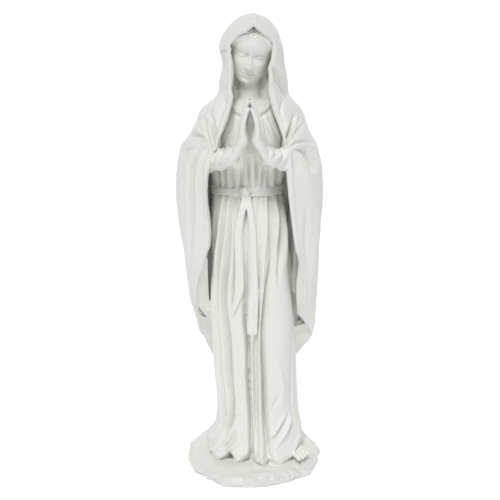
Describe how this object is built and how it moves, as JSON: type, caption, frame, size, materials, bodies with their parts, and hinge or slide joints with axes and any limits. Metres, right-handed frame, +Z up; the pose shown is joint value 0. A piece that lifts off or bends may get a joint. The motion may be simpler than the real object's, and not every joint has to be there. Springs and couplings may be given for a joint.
{
  "type": "praying statue",
  "caption": "Standing veiled woman in a long mantle, head bowed and palms together in prayer, cast in one with a rough low slab that it stands on.",
  "frame": {"origin": "centre of the slab's flat underside", "axes": "+Z up, the figure faces -Y, the viewer's right is +X"},
  "size_m": [0.0951, 0.0854, 0.2949],
  "materials": {
    "cast_white": "matt white cast stone resin with a soft sheen"
  },
  "bodies": {
    "root": {"statue": "cast_white"}
  },
  "joints": []
}
